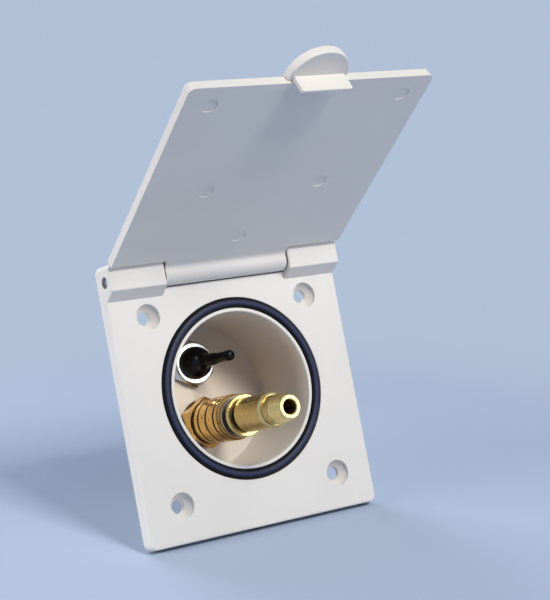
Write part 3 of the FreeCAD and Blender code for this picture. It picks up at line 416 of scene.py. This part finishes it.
def make_rubber_boot(finish):
    """One rubber moulding: a dome on the nut, drawn out into a sleeve over the lever."""
    mesh = lathe(BOOT_OUTLINE, steps=32)
    stand(mesh, SWITCH)
    for vert in mesh.verts:
        rise = (FLOOR_Y - vert.co.y) / MM
        share = min(max((rise - BEND_FROM) / BEND_OVER, 0), 1)
        turn = Matrix.Rotation(LEVER_LEAN * share * share * (3 - 2 * share), 3, "Z")
        vert.co = LEVER_PIVOT + turn @ (vert.co - LEVER_PIVOT)
    boot = piece_of("rubber_boot", mesh, finish,
                    stands_for=("toggle_boot", "lever_boot"), crease=80)
    wall = boot.modifiers.new("wall", "SOLIDIFY")
    wall.thickness, wall.offset = BOOT_WALL * MM, -1
    smooth = boot.modifiers.new("soft_skin", "SUBSURF")
    smooth.levels = smooth.render_levels = 2
    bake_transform(boot)


TAIL_RADIUS = 6.6
THREAD_CREST = 0.32
THREAD_PITCH = 1.5
THREAD_TURNS = 7
THREAD_END = -17.0                                  # height of its last turn, in mm
THREAD_STEPS = 36                                   # faces round each turn


def make_tail_thread(finish):
    """The coupling's male thread behind its nut, as one ridge wound round the tail."""
    ridge = [(TAIL_RADIUS + out, THREAD_END + lift) for out, lift in
             ((-0.05, 0.0), (0, 0.12), (THREAD_CREST, 0.65), (THREAD_CREST, 0.75), (0, 1.28),
              (-0.05, 1.4))]
    mesh = bmesh.new()
    bmesh.ops.spin(mesh, geom=draw(mesh, ridge, closed=True), cent=(0, 0, 0), axis=(0, 0, 1),
                   dvec=(0, 0, THREAD_PITCH * MM / THREAD_STEPS),
                   angle=2 * math.pi * THREAD_TURNS, steps=THREAD_STEPS * THREAD_TURNS,
                   use_merge=False)
    bmesh.ops.holes_fill(mesh, edges=[edge for edge in mesh.edges if edge.is_boundary])
    bmesh.ops.recalc_face_normals(mesh, faces=mesh.faces)
    stand(mesh, COUPLING)
    piece_of("tail_thread", mesh, finish, body="box", crease=25)


SCREW_SHANK = [(0, 0), (1.5, 0), (1.5, 3.0), (2.55, 3.0), (2.6, 3.05), (2.6, 3.7), (0, 3.7)]
SCREW_CROWN = [(0, 3.7), (2.6, 3.7), (2.6, 4.1), (2.3, 4.4), (0, 4.4)]
SCREW_LENGTH = 4.4
SCREW_SLOT = 0.7
SCREW_TURN = math.radians(35)                       # between the two slots
BLADE_SPACING = 9.0


def make_terminal_screws(finish):
    """Cheese-head screws with a slot, one through each blade."""
    low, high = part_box("terminal_screws")
    for number in (1, 2):
        mesh, crown = lathe(SCREW_SHANK, steps=40), lathe(SCREW_CROWN, steps=40)
        for side in (-1, 1):
            half = crown.copy()
            cut = bmesh.ops.bisect_plane(
                half, geom=half.verts[:] + half.edges[:] + half.faces[:],
                plane_co=(0, side * SCREW_SLOT / 2 * MM, 0), plane_no=(0, side, 0),
                clear_inner=True)
            bmesh.ops.edgenet_fill(half, edges=[
                item for item in cut["geom_cut"] if isinstance(item, bmesh.types.BMEdge)])
            data = bpy.data.meshes.new("half_crown")
            half.to_mesh(data)
            mesh.from_mesh(data)
            half.free()
            bpy.data.meshes.remove(data)
        crown.free()
        foot = (high.x - ((number - 1) * BLADE_SPACING + SCREW_LENGTH) * MM,
                (low.y + high.y) / 2, (low.z + high.z) / 2)
        bmesh.ops.transform(
            mesh, verts=mesh.verts,
            matrix=Matrix.Translation(foot) @ Matrix.Rotation(math.radians(90), 4, "Y")
            @ Matrix.Rotation(SCREW_TURN * number, 4, "Z"))
        bmesh.ops.recalc_face_normals(mesh, faces=mesh.faces)
        piece_of("terminal_screw_%d" % number, mesh, finish, body="box",
                 stands_for=("terminal_screws",) if number == 1 else ())


UPRIGHT_ROUND = 1.4
END_ROUND = 0.6
PARTING_LINE = (0.42, 0.46)                         # shares of the case's height
PARTING_GROOVE = 0.25


def make_switch_case(finish):
    """The switch's moulded case: rounded uprights and back edges, and a parting line."""
    low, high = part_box("switch_case")
    size = high - low
    mesh = bmesh.new()
    bmesh.ops.create_cube(mesh, size=1)
    bmesh.ops.scale(mesh, vec=size, verts=mesh.verts)
    bmesh.ops.translate(mesh, vec=(low + high) / 2, verts=mesh.verts)
    uprights = [edge for edge in mesh.edges
                if abs(edge.verts[0].co.y - edge.verts[1].co.y) > 0.5 * size.y]
    bmesh.ops.bevel(mesh, geom=uprights, offset=UPRIGHT_ROUND * MM, segments=5,
                    affect="EDGES", profile=0.5, material=-1)
    ends = [edge for edge in mesh.edges
            if min(vert.co.y for vert in edge.verts) > high.y - 0.01 * MM]
    bmesh.ops.bevel(mesh, geom=ends, offset=END_ROUND * MM, segments=3, affect="EDGES",
                    profile=0.5, material=-1)
    below, above = (low.y + size.y * share for share in PARTING_LINE)
    for lift in (below, above):
        bmesh.ops.bisect_plane(mesh, geom=mesh.verts[:] + mesh.edges[:] + mesh.faces[:],
                               plane_co=(0, lift, 0), plane_no=(0, 1, 0))
    line = [face for face in mesh.faces if below < face.calc_center_median().y < above]
    bmesh.ops.inset_region(mesh, faces=line, thickness=0.08 * MM, depth=-PARTING_GROOVE * MM)
    piece_of("switch_case_shell", mesh, finish, body="box",
             stands_for=("switch_case",))


def make_coil_spring(finish):
    """The sleeve's spring, built from its CAD mesh with the seams welded."""
    front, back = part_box("sleeve_spring")
    length = back.y - front.y
    travel = next(joint["range_m"][1] for joint in frame["joints"]
                  if joint["name"] == "sleeve_slide")
    mesh = bmesh.new()
    mesh.from_mesh(frame["nodes"]["sleeve_spring"].data)
    bmesh.ops.remove_doubles(mesh, verts=mesh.verts, dist=1e-6)
    spring = piece_of("coil_spring", mesh, finish, body="box",
                      stands_for=("sleeve_spring",))
    (length - travel) / length
    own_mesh(spring)


# ---------------------------------------------------------------- stage

def make_stage():
    """A pale sheet under the flange's lower edge, in the lean the box rests at."""
    finish = Finish("studio_sheet", BACKDROP, 0.9)
    finish.feed("Base Color", finish.between(finish.noise(6, 3), BACKDROP,
                                             tuple(part * 0.97 for part in BACKDROP)))
    camera_ray = finish.node("LightPath", out="Is Camera Ray")
    glow = finish.node("Emission", None, Color=(*BACKDROP, 1), Strength=1.0)
    distance = finish.node("VectorMath", {"operation": "LENGTH"}, finish.place, out="Value")
    shader = Value(finish, finish.shader.outputs[0])
    sheet = finish.node("MixShader", None, finish.band(distance, *SHEET_FADE) * camera_ray,
                        shader, glow)
    under = finish.node("NewGeometry", out="Backfacing")
    final = finish.node("MixShader", None, under, sheet, finish.node("BsdfTransparent"))
    finish.link(final, finish.tree.nodes["Material Output"].inputs["Surface"])

    mesh = bmesh.new()
    bmesh.ops.create_circle(mesh, cap_ends=True, radius=SHEET_RADIUS, segments=96)
    turn = Vector((0, 0, 1)).rotation_difference(SHEET_NORMAL).to_matrix().to_4x4()
    low_edge = Vector((0, 0, cad_box[0].z)) - SHEET_NORMAL * SHEET_DROP
    bmesh.ops.transform(mesh, matrix=Matrix.Translation(low_edge) @ turn, verts=mesh.verts)
    data = bpy.data.meshes.new("studio_sheet")
    mesh.to_mesh(data)
    mesh.free()
    data.materials.append(finish.material)
    sheet = bpy.data.objects.new("studio_sheet", data)
    bpy.context.collection.objects.link(sheet)


def make_world():
    """The backdrop to the camera, in gloss and through clear parts, and dim room light."""
    world = bpy.data.worlds.new("studio_room")
    bpy.context.scene.world = world
    world.use_nodes = True
    room = Nodes(world.node_tree)
    seen = camera_ray = room.node("LightPath", out="Is Camera Ray")
    for ray in ("Is Transmission Ray", "Is Glossy Ray"):
        seen = seen.maths("MAXIMUM", seen, camera_ray.output(ray))
    background = room.tree.nodes["Background"].inputs
    room.link(room.node("MapRange", None, seen, 0.0, 1.0, ROOM_STRENGTH, 1.0),
              background["Strength"])
    room.link(room.between(seen, ROOM_LIGHT, BACKDROP), background["Color"])


make_camera()
make_world()
make_stage()
for lamp in LAMPS:
    make_lamp(*lamp)

white, rubber, steel = white_moulding(), boot_rubber(), drawn_steel()
nickel, case, seal, blade = nickel_plate(), case_moulding(), seal_rubber(), stamped_brass()
body_brass = turned_brass("body_brass", (0.76, 0.47, 0.145), (0.44, 0.22, 0.06), shine=0.18,
                          crest=7.6, root=7.3, low=6.5, high=34.0)
sleeve_brass = turned_brass("sleeve_brass", (0.78, 0.48, 0.14), (0.44, 0.22, 0.06),
                            shine=0.13, crest=9.62, root=9.3, low=9.0, high=29.5)
plug_brass = turned_brass("plug_brass", (0.80, 0.62, 0.27), (0.60, 0.43, 0.15), shine=0.20,
                          crest=7.0, root=6.6, low=33.0, high=40.0)
for finish, names in (
        (white, "housing lid"),
        (seal, "lid_seal plug_seal boot_gasket"),
        (steel, "hinge_pin locking_balls sleeve_spring sleeve_stop_ring switch_frame"),
        (body_brass, "coupling_body coupling_back_washer coupling_back_nut"),
        (sleeve_brass, "coupling_sleeve"),
        (plug_brass, "hose_plug supply_hose_tail"),
        (brown_fibre(), "coupling_gasket"),
        (nickel, "switch_bushing boot_nut switch_nut keyed_washer toggle_lever terminal_screws"),
        (rubber, "toggle_boot lever_boot"),
        (case, "switch_case"),
        (blade, "switch_terminals contact_rocker")):
    for name in names.split():
        materials = frame["nodes"][name].data.materials
        materials.clear()
        materials.append(finish)

make_rubber_boot(rubber)
make_tail_thread(body_brass)
make_terminal_screws(nickel)
make_switch_case(case)
make_coil_spring(steel)

bpy.context.scene.view_settings.view_transform = "Standard"
